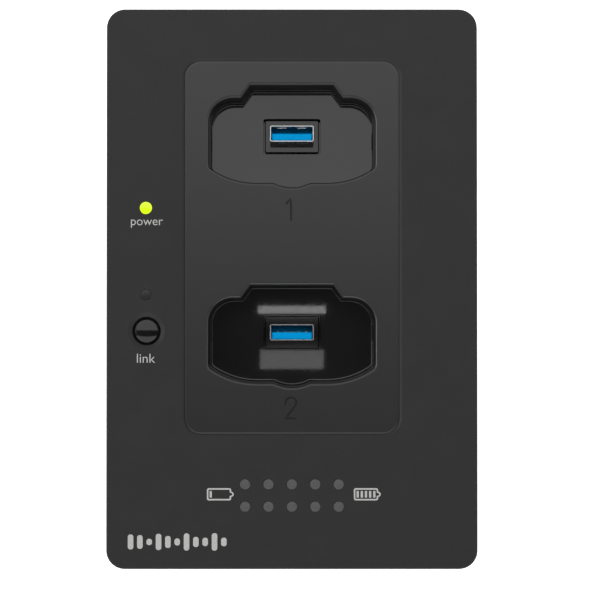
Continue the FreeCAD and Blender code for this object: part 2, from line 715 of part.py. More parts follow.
def dock_panel():
    """The inset plate with two bay mouths, their skirts, liner posts, snap hooks and numerals."""
    wide, long, corner = PANEL_W - 2 * PANEL_GAP, PANEL_L - 2 * PANEL_GAP, PANEL_R - PANEL_GAP
    bevel_z = PANEL_Z - PANEL_BEVEL_H
    shrink = 2 * PANEL_BEVEL_W
    adds = [rounded_prism(wide, long, corner, PANEL_UNDER, bevel_z, 0, PANEL_Y)]
    rim = [
        rounded_wire(wide, long, corner, bevel_z, 0, PANEL_Y),
        rounded_wire(wide - shrink, long - shrink, corner - PANEL_BEVEL_W, PANEL_Z, 0, PANEL_Y),
    ]
    adds.append(Part.makeLoft(rim, True, True))
    cuts = []
    root_z = PANEL_UNDER + OVER / 2
    for y in BAYS.values():
        adds.append(bay_prism(-SKIRT_T, SEAM_Z, root_z, y))
        cuts.append(bay_taper(SEAM_INSET, SEAM_Z, RIM_INSET, PANEL_Z - RIM_R, y))
        cuts += bay_mouth(y)
        for x, py in LINER_SCREWS:
            for sx in (-1, 1):
                adds.append(rod(sx * x, y + py, SEAM_Z + EAR_RISE, root_z, LINER_POST_R))
                cuts.append(rod(sx * x, y + py, SEAM_Z, PANEL_UNDER - OVER, LINER_SCREW[2]))
    for y in (PANEL_Y - HOOK_PITCH, PANEL_Y, PANEL_Y + HOOK_PITCH):
        hook = snap_hook(y)
        adds += hook + [mirrored(shape) for shape in hook]
    cuts.append(numeral_one(BAYS["upper"] - NUMERAL_DROP["upper"]))
    cuts.append(numeral_two(BAYS["lower"] - NUMERAL_DROP["lower"]))
    return one(adds).cut(cuts)


def bay_liner(y):
    """The glossy tub under one bay: floor, short wall, a socket round the skirt's end, four screw
    ears and two posts for the dock board."""
    top_z = SEAM_Z + SOCKET_RISE
    outer = bay_prism(LINER_OUTER, SEAM_Z - SOCKET_FLOOR, top_z, y)
    waist = bay_prism(LINER_WAIST, LINER_UNDER, SEAM_Z - OVER, y)
    adds, cuts = [outer, waist], []
    ear_z0, ear_z1 = SEAM_Z - EAR_SEAT, SEAM_Z + EAR_RISE
    ear_play = LINER_SCREW[0] + SCREW_PLAY
    for px, py in LINER_SCREWS:
        for x in (-px, px):
            adds.append(rod(x, y + py, ear_z0, ear_z1, EAR_R))
            cuts.append(rod(x, y + py, ear_z1, top_z + OVER, LINER_POST_R + SOCKET_GAP))
            cuts.append(rod(x, y + py, SEAM_Z - SOCKET_FLOOR - OVER, ear_z0, ear_play))
            cuts.append(rod(x, y + py, ear_z0 - OVER, ear_z1 + OVER, LINER_SCREW[2] + SCREW_PLAY))
    for x in (-DOCK_SCREW_X, DOCK_SCREW_X):
        adds.append(rod(x, y, DOCK_TOP, LINER_UNDER + OVER / 2, DOCK_POST_R))
        top = DOCK_TOP + DOCK_POST_BORE_L
        cuts.append(rod(x, y, DOCK_TOP - OVER, top, DOCK_BOARD_SCREW[2]))
    cuts.append(bay_prism(SOCKET_INSET, SEAM_Z, top_z + OVER, y))
    tub = bay_taper(FLOOR_INSET, BAY_FLOOR_Z, LINER_INSET, SEAM_Z, y)
    cuts.append(tub.makeFillet(FLOOR_FILLET, flat_edges(tub, BAY_FLOOR_Z)))
    hole_w, hole_h = CARRIER_W + 2 * CARRIER_GAP, CARRIER_H + 2 * CARRIER_GAP
    cuts.append(
        rounded_prism(hole_w, hole_h, CARRIER_R, LINER_UNDER - OVER, BAY_FLOOR_Z + OVER, 0, y)
    )
    return one(adds).cut(cuts)


# ---- the dock plugs -----------------------------------------------------------------------------
def plug_carrier(y):
    """The collar that holds the plug upright on its board; its top is level with the bay floor."""
    column = rounded_prism(CARRIER_W, CARRIER_H, CARRIER_R, DOCK_TOP, BAY_FLOOR_Z, 0, y)
    column = column.makeChamfer(CARRIER_BEVEL, flat_edges(column, BAY_FLOOR_Z))
    wide, deep, thick = CARRIER_FLANGE
    flange = rounded_prism(wide, deep, CARRIER_R, DOCK_TOP, DOCK_TOP + thick, 0, y)
    hole = rounded_prism(PLUG_W, PLUG_H, PLUG_R, DOCK_TOP - OVER, BAY_FLOOR_Z + OVER, 0, y)
    return one([column, flange]).cut(hole)


def plug_shell(y):
    """The plug's folded steel sleeve, with its four latch windows and a seam."""
    sheet = 2 * PLUG_SHEET
    body = rounded_prism(PLUG_W, PLUG_H, PLUG_R, DOCK_TOP, TIP_Z, 0, y)
    body = body.makeChamfer(PLUG_EDGE, flat_edges(body, TIP_Z))
    inner_w, inner_h, inner_r = PLUG_W - sheet, PLUG_H - sheet, PLUG_R - PLUG_SHEET
    body = body.cut(rounded_prism(inner_w, inner_h, inner_r, DOCK_TOP - OVER, TIP_Z + OVER, 0, y))
    cuts = []
    window_z = TIP_Z - LATCH_DROP
    window_w, window_h = LATCH_SIZE
    for x in (-LATCH_X, LATCH_X):
        cuts.append(centred_box(x, y + PLUG_H / 2, window_w, OVER, window_z, window_z + window_h))
        cuts.append(centred_box(x, y - PLUG_H / 2, window_w, OVER, window_z, window_z + window_h))
    seam_top = window_z - 2 * PLUG_SHEET
    cuts.append(centred_box(0, y - PLUG_H / 2, SEAM_W, OVER, DOCK_TOP - OVER, seam_top))
    return body.cut(cuts)


def contact_strips(y, grow=0.0):
    """Nine contacts: four long flat ones and five short raised ones behind them."""
    tail_z = DOCK_BOARD_Z - CONTACT_TAIL
    rows = (
        (USB2_X, USB2_W, y + USB2_PROUD - USB2_T, y + USB2_PROUD, TIP_Z - USB2_DROP),
        (USB3_X, USB3_W, y + USB3_RISE, y + USB3_RISE + USB3_T, TIP_Z - USB3_DROP),
    )
    strips = []
    for places, w, y0, y1, top in rows:
        for x in places:
            half = w / 2 + grow
            strips.append(box(x - half, x + half, y0 - grow, y1 + grow, tail_z, top))
    return strips


def plug_tongue(y):
    """The blue moulding: a block in the sleeve's root and a tongue along its lower side."""
    half_h = PLUG_H / 2 - PLUG_SHEET
    block_w, block_top = PLUG_W - 2 * PLUG_SHEET, BAY_FLOOR_Z + TONGUE_BLOCK_RISE
    block = rounded_prism(block_w, 2 * half_h, PLUG_R - PLUG_SHEET, DOCK_TOP, block_top, 0, y)
    top = TIP_Z - TONGUE_RECESS
    tongue = box(-TONGUE_W / 2, TONGUE_W / 2, y - half_h, y, BAY_FLOOR_Z, top)
    tongue = tongue.makeChamfer(TONGUE_EDGE, flat_edges(tongue, top))
    return one([block, tongue]).cut(contact_strips(y))


def dock_board(y):
    """The small board that carries one plug."""
    wide, long = DOCK_BOARD_SIZE
    board = rounded_prism(wide, long, DOCK_BOARD_R, DOCK_BOARD_Z, DOCK_TOP, 0, y)
    hole_r = DOCK_BOARD_SCREW[2] + BOARD_HOLE_PLAY
    holes = []
    for x in (-DOCK_SCREW_X, DOCK_SCREW_X):
        holes.append(rod(x, y, DOCK_BOARD_Z - OVER, DOCK_TOP + OVER, hole_r))
    return board.cut(holes + contact_strips(y, CONTACT_PLAY))


def dock_header(y):
    """The board-to-board connector under one dock board, with a mating line round its waist."""
    middle = y - DOCK_HEADER_BACK
    wide, long = DOCK_HEADER_SIZE
    body = centred_box(0, middle, wide, long, MAIN_TOP, DOCK_BOARD_Z)
    waist = (MAIN_TOP + DOCK_BOARD_Z) / 2
    low, high = waist - GROOVE_W / 2, waist + GROOVE_W / 2
    band = centred_box(0, middle, wide + OVER, long + OVER, low, high)
    inside = centred_box(0, middle, wide - 2 * GROOVE_DEPTH, long - 2 * GROOVE_DEPTH, low, high)
    return body.cut(band.cut(inside))


# ---- boards and what they carry -----------------------------------------------------------------
def main_board():
    """The power and network board on the base's standoffs."""
    board = box(-MAIN_BOARD_X, MAIN_BOARD_X, *MAIN_BOARD_Y, MAIN_BOARD_Z, MAIN_TOP)
    cuts = []
    for x, y in at_corners(SCREW_XY):
        notch_x, notch_y = SCREW_XY[0] - MAIN_BOARD_NOTCH, SCREW_XY[1] - MAIN_BOARD_NOTCH
        mid_x = math.copysign((notch_x + BODY_W / 2) / 2, x)
        mid_y = math.copysign((notch_y + BODY_L / 2) / 2, y)
        wide, long = BODY_W / 2 - notch_x, BODY_L / 2 - notch_y
        cuts.append(centred_box(mid_x, mid_y, wide, long, MAIN_BOARD_Z - OVER, MAIN_TOP + OVER))
    for x, y in at_corners(BOARD_SCREW_XY):
        hole_r = BOARD_SCREW_R + BOARD_HOLE_PLAY
        cuts.append(rod(x, y, MAIN_BOARD_Z - OVER, MAIN_TOP + OVER, hole_r))
    return board.cut(cuts)


def lamp_board():
    """The L-shaped board under the face: lamps along the left and the lower edge, and the switch."""
    left_x, leg_x, right_x = LAMP_BOARD_X
    low_y, leg_y, high_y = LAMP_BOARD_Y
    left = box(left_x, leg_x, low_y, high_y, LAMP_BOARD_Z, LAMP_BOARD_TOP)
    lower = box(left_x, right_x, low_y, leg_y, LAMP_BOARD_Z, LAMP_BOARD_TOP)
    hole_r = LAMP_BOARD_SCREW[2] + BOARD_HOLE_PLAY
    holes = []
    for x, y in LAMP_BOARD_SCREWS:
        holes.append(rod(x, y, LAMP_BOARD_Z - OVER, LAMP_BOARD_TOP + OVER, hole_r))
    return one([left, lower]).cut(holes)


def lamp_chips():
    """Surface-mount lamps: one under each light guide."""
    wide, long, high = LAMP_CHIP
    places = [(LAMP_X, y) for y, _ in STATUS_LAMPS]
    places += [(x, y) for y in BATTERY_ROWS_Y for x in BATTERY_X]
    top = LAMP_BOARD_TOP + high
    chips = [centred_box(x, y, wide, long, LAMP_BOARD_TOP, top) for x, y in places]
    return Part.makeCompound(chips)


def domed_pin(x, y, z0, edge_z, r, rise):
    """An upright pin whose round top rises from edge_z in a shallow dome."""
    ball_r = (r**2 + rise**2) / (2 * rise)
    ball = Part.makeSphere(ball_r, V(x, y, edge_z + rise - ball_r))
    return rod(x, y, z0, edge_z + rise, r).common(ball)


def status_lamp(y, r, rise):
    """A single light guide with a round flange under the face."""
    flange = rod(LAMP_X, y, FACE_UNDER - LAMP_FLANGE_T, FACE_UNDER, r + LAMP_FLANGE)
    return one([domed_pin(LAMP_X, y, GUIDE_Z, FACE_Z, r, rise), flange])


def battery_lamp_bar(y):
    """Five light guides moulded on one web."""
    pins = [domed_pin(x, y, GUIDE_Z, FACE_Z, BATTERY_R, BATTERY_DOME) for x in BATTERY_X]
    web_w = BATTERY_PITCH_X * (BATTERY_COUNT - 1) + LAMP_WEB_L
    web_r = LAMP_WEB_L / 2 - LAMP_WEB_FLAT
    web = rounded_prism(web_w, LAMP_WEB_L, web_r, FACE_UNDER - LAMP_FLANGE_T, FACE_UNDER, 0, y)
    return one([web] + pins)


# ---- the link button ----------------------------------------------------------------------------
def link_button():
    """A domed key cap with a flange behind the face and a stem on the switch."""
    x, y = BUTTON_X, BUTTON_Y
    cap = domed_pin(x, y, BUTTON_FLANGE_Z, BUTTON_EDGE_Z, BUTTON_R, BUTTON_DOME)
    cap = cap.makeFillet(BUTTON_EDGE_R, flat_edges(cap, BUTTON_EDGE_Z))
    flange = rod(x, y, BUTTON_FLANGE_Z, BUTTON_FLANGE_Z + BUTTON_FLANGE_T, BUTTON_FLANGE_R)
    stem = rod(x, y, STEM_Z, BUTTON_FLANGE_Z + BUTTON_FLANGE_T / 2, BUTTON_STEM_R)
    return one([cap, flange, stem])


def switch_body():
    """The push switch's square case, hollow for its plunger."""
    x, y, z = BUTTON_X, BUTTON_Y, LAMP_BOARD_TOP
    top = z + SWITCH_H
    case = centred_box(x, y, SWITCH_W, SWITCH_W, z, top)
    case = case.makeChamfer(SWITCH_EDGE, flat_edges(case, top))
    hollow = rod(x, y, z + SWITCH_FLOOR, top - SWITCH_ROOF, PLUNGER_COLLAR_R + PLUNGER_GAP)
    throat = rod(x, y, top - 2 * SWITCH_ROOF, top + OVER, PLUNGER_R + PLUNGER_GAP / 2)
    return case.cut([hollow, throat])


def switch_plunger():
    """The plunger that the stem rests on, with a collar kept inside the case."""
    x, y = BUTTON_X, BUTTON_Y
    low = LAMP_BOARD_TOP + PLUNGER_LIFT
    collar = rod(x, y, low, low + PLUNGER_COLLAR_T, PLUNGER_COLLAR_R)
    return one([rod(x, y, low, STEM_Z, PLUNGER_R), collar])


# ---- sockets ------------------------------------------------------------------------------------
def ethernet_insert():
    """The socket's moulding, with the plug's cavity and its latch slot below."""
    x, z = ETHERNET_X, MAIN_TOP
    wide = ETHERNET_W - 2 * ETHERNET_SHEET
    back = JACK_FRONT_Y - ETHERNET_L + ETHERNET_SHEET
    top = z + ETHERNET_H - ETHERNET_SHEET
    body = box(x - wide / 2, x + wide / 2, back, JACK_FRONT_Y - ETHERNET_SETBACK, z, top)
    deep, front = JACK_FRONT_Y - ETHERNET_CAVITY_L, JACK_FRONT_Y + OVER
    cuts = []
    for width, low, high in ETHERNET_CAVITY:
        cuts.append(box(x - width / 2, x + width / 2, deep, front, z + low, z + high))
    return body.cut(cuts + ethernet_lamps().Solids + ethernet_contacts().Solids)


def ethernet_contacts():
    """Eight sprung wires that slant down from the cavity's roof."""
    wires = []
    for k in range(8):
        x = ETHERNET_X + (k - 3.5) * ETHERNET_PIN_PITCH - ETHERNET_PIN_W / 2
        profile = [V(x, JACK_FRONT_Y - back, MAIN_TOP + up) for back, up in ETHERNET_PIN]
        wires.append(plate_of(profile, V(ETHERNET_PIN_W, 0, 0)))
    return Part.makeCompound(wires)


def ethernet_lamps():
    """The two small lamps in the socket's upper corners."""
    wide, low, high = ETHERNET_LAMP
    z = MAIN_TOP
    lamps = []
    for x in (ETHERNET_X - ETHERNET_LAMP_X, ETHERNET_X + ETHERNET_LAMP_X):
        y0 = JACK_FRONT_Y - ETHERNET_LAMP_L
        lamps.append(box(x - wide / 2, x + wide / 2, y0, JACK_FRONT_Y, z + low, z + high))
    return Part.makeCompound(lamps)


def ethernet_shield():
    """The folded tin shield over the socket, open in front and below."""
    x, z = ETHERNET_X, MAIN_TOP
    back = JACK_FRONT_Y - ETHERNET_L
    half, sheet = ETHERNET_W / 2, ETHERNET_SHEET
    outer = box(x - half, x + half, back, JACK_FRONT_Y, z, z + ETHERNET_H)
    inner_x, top = half - sheet, z + ETHERNET_H - sheet
    inner = box(x - inner_x, x + inner_x, back + sheet, JACK_FRONT_Y + OVER, z - OVER, top)
    slots = []
    slot_y = JACK_FRONT_Y - SHIELD_SLOT_BACK
    for side in (x - half, x + half):
        low, high = SHIELD_SLOT
        slots.append(centred_box(side, slot_y, SHIELD_SLOT_DEEP, sheet, z + low, z + high))
    return outer.cut([inner] + slots)


def power_jack_body():
    """The coaxial power socket's moulding."""
    x = POWER_JACK_X
    back = JACK_FRONT_Y - POWER_JACK_L
    half = POWER_JACK_W / 2
    body = box(x - half, x + half, back, JACK_FRONT_Y, MAIN_TOP, MAIN_TOP + POWER_JACK_H)
    body = body.makeChamfer(ETHERNET_SHEET, front_edges(body, JACK_FRONT_Y))
    toward = V(0, -1, 0)
    bore = Part.makeCylinder(POWER_BORE_R, POWER_BORE_L, V(x, JACK_FRONT_Y, POWER_BORE_Z), toward)
    root_at = V(x, JACK_FRONT_Y - POWER_BORE_L, POWER_BORE_Z)
    root = Part.makeCylinder(POWER_PIN_R, POWER_PIN_ROOT, root_at, toward)
    return body.cut([bore, root, power_jack_spring()])


def power_jack_pin():
    """The socket's centre pin, round-nosed."""
    start_y = JACK_FRONT_Y - POWER_BORE_L - POWER_PIN_ROOT
    end_y = JACK_FRONT_Y - POWER_PIN_SETBACK
    start = V(POWER_JACK_X, start_y, POWER_BORE_Z)
    pin = Part.makeCylinder(POWER_PIN_R, end_y - start_y, start, V(0, 1, 0))
    return pin.makeFillet(POWER_PIN_NOSE, front_edges(pin, end_y))


def power_jack_spring():
    """The leaf that presses on the plug's sleeve."""
    x = POWER_JACK_X - POWER_SPRING_W / 2
    floor_z = POWER_BORE_Z - POWER_BORE_R
    profile = [V(x, JACK_FRONT_Y - back, floor_z + up) for back, up in POWER_SPRING]
    return plate_of(profile, V(POWER_SPRING_W, 0, 0))


# ---- components on the main board ---------------------------------------------------------------
def chip(x, y, w, l):
    """A flat package with a pin-one dimple."""
    top = MAIN_TOP + CHIP_H
    body = centred_box(x, y, w, l, MAIN_TOP, top)
    dimple_x, dimple_y = x - w / 2 + DIMPLE_IN, y + l / 2 - DIMPLE_IN
    return body.cut(rod(dimple_x, dimple_y, top - DIMPLE_DEPTH, top + OVER, DIMPLE_R))


def main_chips():
    """Processor, network chip, two chargers and memory."""
    return Part.makeCompound([chip(*place) for place in CHIPS])


def ethernet_transformer():
    """The isolating transformer between the network chip and the socket."""
    wide, y0, y1, high = TRANSFORMER
    top = MAIN_TOP + high
    body = box(ETHERNET_X - wide / 2, ETHERNET_X + wide / 2, y0, y1, MAIN_TOP, top)
    middle = (y0 + y1) / 2
    groove = centred_box(ETHERNET_X, middle, wide + OVER, GROOVE_W, top - GROOVE_DEPTH, top + OVER)
    return body.cut(groove)


def power_inductors():
    """Two shielded coils beside the chargers."""
    side, high, hollow_r, hollow_depth = COIL
    coils = []
    for x in COIL_X:
        top = MAIN_TOP + high
        coil = rounded_prism(side, side, COIL_CORNER_R, MAIN_TOP, top, x, COIL_Y)
        coils.append(coil.cut(rod(x, COIL_Y, top - hollow_depth, top + OVER, hollow_r)))
    return Part.makeCompound(coils)


def capacitors():
    """Four can capacitors with a vent cross in the top."""
    radius, high = CAN
    top = MAIN_TOP + high
    cans = []
    for x in CAN_X:
        for y in CAN_Y:
            can = rod(x, y, MAIN_TOP, top, radius)
            can = can.makeFillet(CAN_EDGE_R, flat_edges(can, top))
            low = top - GROOVE_DEPTH
            cross = [centred_box(x, y, 2 * CAN_CROSS, GROOVE_W, low, top + OVER)]
            cross.append(centred_box(x, y, GROOVE_W, 2 * CAN_CROSS, low, top + OVER))
            cans.append(can.cut(cross))
    return Part.makeCompound(cans)


def ribbon_sockets():
    """The ribbon's two sockets, one on each board."""
    wide, long, high = RIBBON_SOCKET
    top_y = RIBBON_Y + RIBBON_STEP
    low = centred_box(RIBBON_X, RIBBON_Y, wide, long, MAIN_TOP, MAIN_TOP + high)
    upper = centred_box(RIBBON_X, top_y, wide, long, LAMP_BOARD_Z - high, LAMP_BOARD_Z)
    ribbon = ribbon_cable()
    return Part.makeCompound([low.cut(ribbon), upper.cut(ribbon)])


def ribbon_cable():
    """A flat ribbon with a gentle S, from the main board's socket to the lamp board's."""
    z0, z1 = MAIN_TOP + RIBBON_END, LAMP_BOARD_Z - RIBBON_END
    bend_r = RIBBON_STEP / (2 * (1 - math.cos(math.radians(RIBBON_TURN))))
    bend_h = 2 * bend_r * math.sin(math.radians(RIBBON_TURN))
    run = (z1 - z0 - bend_h) / 2
    y0, y1 = RIBBON_Y, RIBBON_Y + RIBBON_STEP
    low, high = V(0, y0, z0 + run), V(0, y1, z1 - run)
    middle = (low + high) * 0.5

    def halfway(centre_y, centre_z, turn):
        t = math.radians(turn)
        return V(0, centre_y + bend_r * math.cos(t), centre_z + bend_r * math.sin(t))

    path = Part.Wire([
        line(V(0, y0, z0), low),
        Part.Arc(low, halfway(y0 + bend_r, low.z, 180 - RIBBON_TURN / 2), middle).toShape(),
        Part.Arc(middle, halfway(y1 - bend_r, high.z, -RIBBON_TURN / 2), high).toShape(),
        line(high, V(0, y1, z1)),
    ])
    corners = []
    for sx, sy in ((-1, -1), (1, -1), (1, 1), (-1, 1)):
        corners.append(V(sx * RIBBON_W / 2, y0 + sy * RIBBON_T / 2, z0))
    section = Part.makePolygon(corners + [corners[0]])
    return moved(path.makePipeShell([section], True, False), RIBBON_X, 0)


# ---- fasteners ----------------------------------------------------------------------------------
def screw(x, y, seat_z, head_r, head_h, shank_r, length):
    """A pan-head screw whose head is below its seat and whose shank points up, with a cross slot."""
    low = seat_z - head_h
    head = rod(x, y, low, seat_z, head_r)
    head = head.makeFillet(head_h * HEAD_ROUND, flat_edges(head, low))
    shank = rod(x, y, seat_z, seat_z + length, shank_r)
    shank = shank.makeChamfer(shank_r * SHANK_POINT, flat_edges(shank, seat_z + length))
    arm, slot = 2 * head_r * CROSS_REACH, 2 * head_r * CROSS_WIDTH
    depth = seat_z - head_h / 2
    cross = [centred_box(x, y, arm, slot, low - OVER, depth)]
    cross.append(centred_box(x, y, slot, arm, low - OVER, depth))
    return one([head, shank]).cut(cross)


def housing_screws():
    places = at_corners(SCREW_XY)
    return Part.makeCompound([screw(x, y, SCREW_SEAT_Z, *HOUSING_SCREW) for x, y in places])


def threaded_inserts():
    """Brass inserts in the top housing's bosses."""
    inserts = []
    for x, y in at_corners(SCREW_XY):
        sleeve = rod(x, y, BOSS_Z, BOSS_Z + INSERT_L, INSERT_R)
        bore = rod(x, y, BOSS_Z - OVER, BOSS_Z + INSERT_L + OVER, HOUSING_SCREW[2])
        inserts.append(sleeve.cut(bore))
    return Part.makeCompound(inserts)


def board_screws():
    """Main board screws: the same kind turned over, heads up."""
    length = MAIN_TOP - BASE_INSIDE - SCREW_END_GAP
    screws = []
    for x, y in at_corners(BOARD_SCREW_XY):
        turned = screw(x, y, -MAIN_TOP, *BOARD_SCREW_HEAD, BOARD_SCREW_R, length)
        screws.append(turned.mirror(V(0, 0, 0), UP))
    return Part.makeCompound(screws)


def lamp_board_screws():
    screws = [screw(x, y, LAMP_BOARD_Z, *LAMP_BOARD_SCREW) for x, y in LAMP_BOARD_SCREWS]
    return Part.makeCompound(screws)


def liner_screws():
    """Eight screws up through the liners' ears into the panel's posts."""
    screws = []
    for y in BAYS.values():
        for px, py in LINER_SCREWS:
            for x in (-px, px):
                screws.append(screw(x, y + py, SEAM_Z - EAR_SEAT, *LINER_SCREW))
    return Part.makeCompound(screws)


def dock_board_screws():
    screws = []
    for y in BAYS.values():
        for x in (-DOCK_SCREW_X, DOCK_SCREW_X):
            screws.append(screw(x, y, DOCK_BOARD_Z, *DOCK_BOARD_SCREW))
    return Part.makeCompound(screws)


# ---- the whole station --------------------------------------------------------------------------
def assembly():
    """Every piece by its node name."""
    pieces = {
        "top_housing": top_housing(),
        "base_housing": base_housing(),
        "dock_panel": dock_panel(),
        "rating_label": rating_label(),
        "main_board": main_board(),
        "lamp_board": lamp_board(),
        "lamp_chips": lamp_chips(),
        "power_lamp": status_lamp(POWER_LAMP_Y, POWER_LAMP_R, POWER_LAMP_DOME),
        "link_lamp": status_lamp(LINK_LAMP_Y, LINK_LAMP_R, LINK_LAMP_DOME),
        "battery_lamps_bay_1": battery_lamp_bar(BATTERY_ROWS_Y[0]),
        "battery_lamps_bay_2": battery_lamp_bar(BATTERY_ROWS_Y[1]),
        "link_button": link_button(),
        "switch_plunger": switch_plunger(),
        "switch_body": switch_body(),
        "ethernet_insert": ethernet_insert(),
        "ethernet_contacts": ethernet_contacts(),
        "ethernet_lamps": ethernet_lamps(),
        "ethernet_shield": ethernet_shield(),
        "ethernet_transformer": ethernet_transformer(),
        "power_jack_body": power_jack_body(),
        "power_jack_pin": power_jack_pin(),
        "power_jack_spring": power_jack_spring(),
        "main_chips": main_chips(),
        "power_inductors": power_inductors(),
        "capacitors": capacitors(),
        "ribbon_cable": ribbon_cable(),
        "ribbon_sockets": ribbon_sockets(),
        "housing_screws": housing_screws(),
        "threaded_inserts": threaded_inserts(),
        "board_screws": board_screws(),
        "lamp_board_screws": lamp_board_screws(),
        "liner_screws": liner_screws(),
        "dock_board_screws": dock_board_screws(),
    }
    for name, y in BAYS.items():
        pieces[f"{name}_bay_liner"] = bay_liner(y)
        pieces[f"{name}_plug_carrier"] = plug_carrier(y)
        pieces[f"{name}_plug_shell"] = plug_shell(y)
        pieces[f"{name}_plug_tongue"] = plug_tongue(y)
        pieces[f"{name}_plug_contacts"] = Part.makeCompound(contact_strips(y))
        pieces[f"{name}_dock_board"] = dock_board(y)
        pieces[f"{name}_dock_header"] = dock_header(y)
    for x, y in at_corners(FOOT_XY):
        side = "left" if x < 0 else "right"
        end = "front" if y < 0 else "rear"
        pieces[f"foot_{end}_{side}"] = foot(x, y)
    return pieces


def main():
    os.makedirs("parts", exist_ok=True)
    for name, shape in assembly().items():
        solids = shape.Solids
        if not solids or not shape.isValid():
            print("BAD", name, len(solids), shape.isValid())
        shape.exportStep(f"parts/{name}.step")
        print(f"{name}: {len(solids)} solid(s), {sum(s.Volume for s in solids):.1f} mm3")


main()
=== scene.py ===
"""Looks of the two-bay charging station: surfaces, printed marks, floor, light and camera.

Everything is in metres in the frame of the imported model. Its nodes keep their shapes and get
procedural materials; the marks printed on the face are thin new pieces.
"""
import bpy
import json
import math
from mathutils import Matrix, Vector


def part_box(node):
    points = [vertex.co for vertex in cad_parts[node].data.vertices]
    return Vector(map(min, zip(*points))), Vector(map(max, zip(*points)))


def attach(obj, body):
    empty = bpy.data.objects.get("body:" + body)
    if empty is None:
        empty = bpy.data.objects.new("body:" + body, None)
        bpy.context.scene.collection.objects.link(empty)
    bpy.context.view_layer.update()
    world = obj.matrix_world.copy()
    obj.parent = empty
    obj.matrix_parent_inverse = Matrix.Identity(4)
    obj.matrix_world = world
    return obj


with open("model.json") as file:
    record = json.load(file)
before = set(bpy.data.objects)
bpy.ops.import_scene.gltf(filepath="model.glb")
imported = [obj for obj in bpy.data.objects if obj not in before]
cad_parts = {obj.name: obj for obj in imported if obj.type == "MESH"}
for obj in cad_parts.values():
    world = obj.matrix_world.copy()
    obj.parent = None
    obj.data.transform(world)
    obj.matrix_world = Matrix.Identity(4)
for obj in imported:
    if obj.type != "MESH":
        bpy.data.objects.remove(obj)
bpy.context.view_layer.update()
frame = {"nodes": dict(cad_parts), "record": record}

MM = 0.001
FACE_Z = 36.0 * MM
BODY = "housing"

# The lit lamp's dome is even out to the first radius and palest from the second.
GLOW_EVEN_R = 1.0 * MM
GLOW_RIM_R = 1.75 * MM

# Repeats per metre of the brick pattern that stands for tracks, and the width of its joints.
TRACK_REPEATS = 160.0
TRACK_JOINT = 0.02


# ---- node helpers -------------------------------------------------------------------------------
class Surface:
    """A material's node tree, with the few nodes that most surfaces share."""

    def __init__(self, name, colour, roughness, **sockets):
        self.material = bpy.data.materials.new(name)
        self.material.use_nodes = True
        self.tree = self.material.node_tree
        self.shader = self.tree.nodes["Principled BSDF"]
        self.place = self.node("ShaderNodeTexCoord").outputs["Object"]
        self.set("Base Color", (*colour, 1.0))
        self.set("Roughness", roughness)
        for socket, value in sockets.items():
            self.set(socket.replace("_", " "), value)

    def set(self, socket, value):
        self.shader.inputs[socket].default_value = value

    def node(self, kind, **settings):
        made = self.tree.nodes.new(kind)
        for key, value in settings.items():
            setattr(made, key, value)
        return made

    def link(self, source, target):
        self.tree.links.new(source, target)

    def stretched(self, sx, sy, sz):
        """The place with each axis scaled, for grain that runs one way."""
        mapping = self.node("ShaderNodeMapping")
        mapping.inputs["Scale"].default_value = (sx, sy, sz)
        self.link(self.place, mapping.inputs["Vector"])
        return mapping.outputs["Vector"]

    def noise(self, size_mm, detail=2.0, rough=0.5, place=None):
        """Soft noise whose features are about size_mm across."""
        made = self.node("ShaderNodeTexNoise")
        made.inputs["Scale"].default_value = 1.0 / (size_mm * MM)
        made.inputs["Detail"].default_value = detail
        made.inputs["Roughness"].default_value = rough
        self.link(place or self.place, made.inputs["Vector"])
        return made.outputs["Fac"]

    def cells(self, size_mm, feature="F1", place=None):
        """Distance to the nearest of scattered points about size_mm apart."""
        made = self.node("ShaderNodeTexVoronoi", feature=feature)
        made.inputs["Scale"].default_value = 1.0 / (size_mm * MM)
        self.link(place or self.place, made.inputs["Vector"])
        return made.outputs["Distance"]

    def spread(self, value, low, high, start=0.0, end=1.0):
        """Maps a value from start..end to low..high."""
        made = self.node("ShaderNodeMapRange")
        self.link(value, made.inputs["Value"])
        limits = {"From Min": start, "From Max": end, "To Min": low, "To Max": high}
        for socket, number in limits.items():
            made.inputs[socket].default_value = number
        return made.outputs["Result"]

    def tint(self, value, dark, light, start=0.3, end=0.7):
        """Colours the surface between two tones by a value."""
        ramp = self.node("ShaderNodeValToRGB")
        ramp.color_ramp.elements[0].position = start
        ramp.color_ramp.elements[0].color = (*dark, 1.0)
        ramp.color_ramp.elements[1].position = end
        ramp.color_ramp.elements[1].color = (*light, 1.0)
        self.link(value, ramp.inputs["Fac"])
        self.link(ramp.outputs["Color"], self.shader.inputs["Base Color"])

    def roughen(self, value, low, high, start=0.3, end=0.7):
        self.link(self.spread(value, low, high, start, end), self.shader.inputs["Roughness"])

    def emboss(self, height, depth_mm, strength=1.0):
        """Adds a height to the surface's relief, depth_mm for a height of one."""
        bump = self.node("ShaderNodeBump")
        bump.inputs["Strength"].default_value = strength
        bump.inputs["Distance"].default_value = depth_mm * MM
        self.link(height, bump.inputs["Height"])
        normal = self.shader.inputs["Normal"]
        if normal.is_linked:
            self.link(normal.links[0].from_socket, bump.inputs["Normal"])
        self.link(bump.outputs["Normal"], normal)


def grey(value):
    return (value, value, value)


def near(colour, factor):
    """The same hue, lighter or darker."""
    return tuple(min(1.0, part * factor) for part in colour)


# ---- surfaces -----------------------------------------------------------------------------------
def housing_black():
    """Spark-eroded black ABS: fine closed grain, with a broad faint mottle."""
    colour = (0.0133, 0.0133, 0.0139)
    s = Surface("housing_black", colour, 0.55, Specular_IOR_Level=0.26)
    s.tint(s.noise(9.0, 3.0), near(colour, 0.93), near(colour, 1.07))
    grain = s.noise(0.32, 2.0, 0.6)
    s.roughen(grain, 0.50, 0.62)
    s.emboss(grain, 0.022)
    s.emboss(s.cells(0.55), 0.010)
    return s


